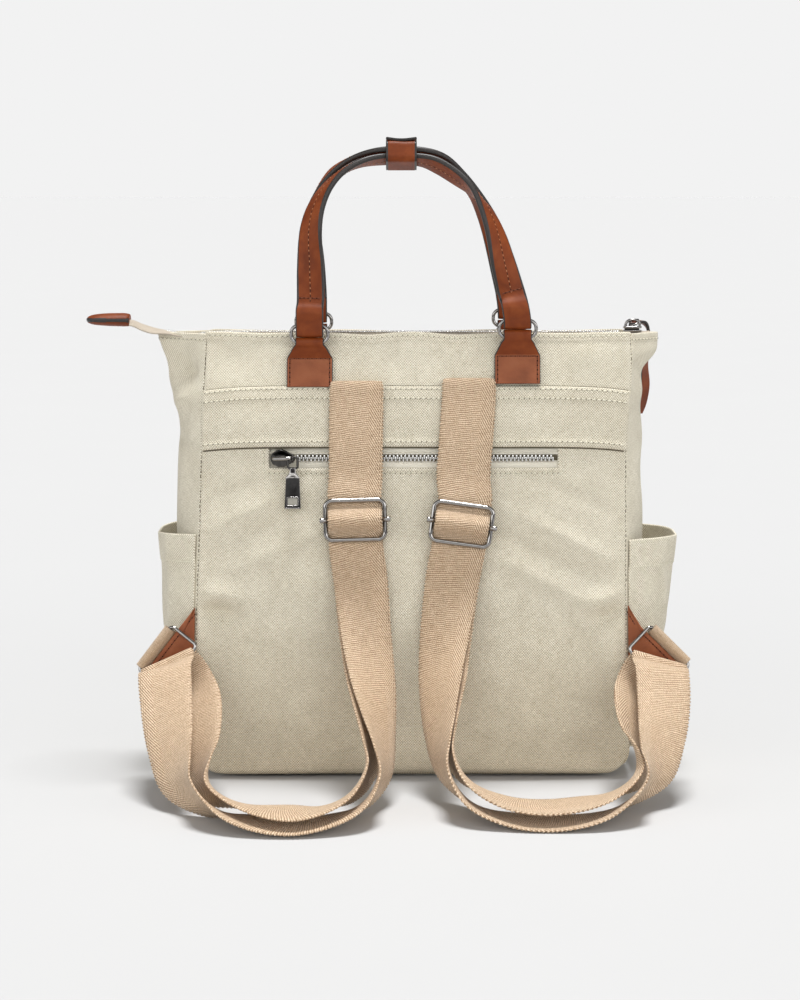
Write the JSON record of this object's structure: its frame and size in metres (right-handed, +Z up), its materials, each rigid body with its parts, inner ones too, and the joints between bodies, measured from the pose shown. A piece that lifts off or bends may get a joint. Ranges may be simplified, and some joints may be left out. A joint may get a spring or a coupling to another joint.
{
  "type": "fabric backpack",
  "caption": "Upright canvas tote backpack with a zipped wedge body, stitched yoke with zip pocket, side pockets, adjustable webbing shoulder straps and leather carry handles.",
  "frame": {"origin": "middle of the flat underside that the bag stands on", "axes": "+Z up, the back panel with the straps faces -Y, +X to the right of someone who looks at the back panel"},
  "size_m": [0.4445, 0.2841, 0.4675],
  "materials": {
    "canvas": "matte plain-weave cotton canvas, stone beige",
    "webbing": "ribbed cotton webbing, tan",
    "leather": "smooth brown leather with black painted edges",
    "metal": "polished nickel",
    "zip_tape": "woven zip tape, beige",
    "zip_chain": "satin zip teeth"
  },
  "bodies": {
    "bag": {"upper_back_panel": "canvas", "back_yoke": "canvas", "lower_back_panel": "canvas", "front_panel": "canvas", "gusset_left": "canvas", "gusset_right": "canvas", "base_panel": "canvas", "side_pocket_left": "canvas", "side_pocket_right": "canvas", "top_zip_tape": "zip_tape", "top_zip_chain": "zip_chain", "zip_tail_tab": "leather", "top_zip_slider": "metal", "top_zip_pull": "leather", "rear_zip_tape": "zip_tape", "rear_zip_chain": "zip_chain", "rear_zip_slider": "metal", "buckle_frame_left": "metal", "buckle_bar_left": "metal", "shoulder_strap_left": "webbing", "anchor_ring_left": "metal", "anchor_loop_left": "webbing", "anchor_leather_left": "leather", "buckle_frame_right": "metal", "buckle_bar_right": "metal", "shoulder_strap_right": "webbing", "anchor_ring_right": "metal", "anchor_loop_right": "webbing", "anchor_leather_right": "leather", "handle_ring_back_left": "metal", "handle_tab_back_left": "leather", "handle_ring_back_right": "metal", "handle_tab_back_right": "leather", "handle_ring_front_left": "metal", "handle_tab_front_left": "leather", "handle_ring_front_right": "metal", "handle_tab_front_right": "leather", "handle_back": "leather", "handle_front": "leather", "handle_keeper": "leather"},
    "zip_pull": {"rear_zip_pull": "metal"}
  },
  "joints": [
    {"name": "rear_zip_pull_swing", "type": "hinge", "parent": "bag", "child": "zip_pull", "pos_m": [-0.0866, -0.05061, 0.2364], "axis": [-1, 0, 0], "range_deg": [0, 150]}
  ]
}
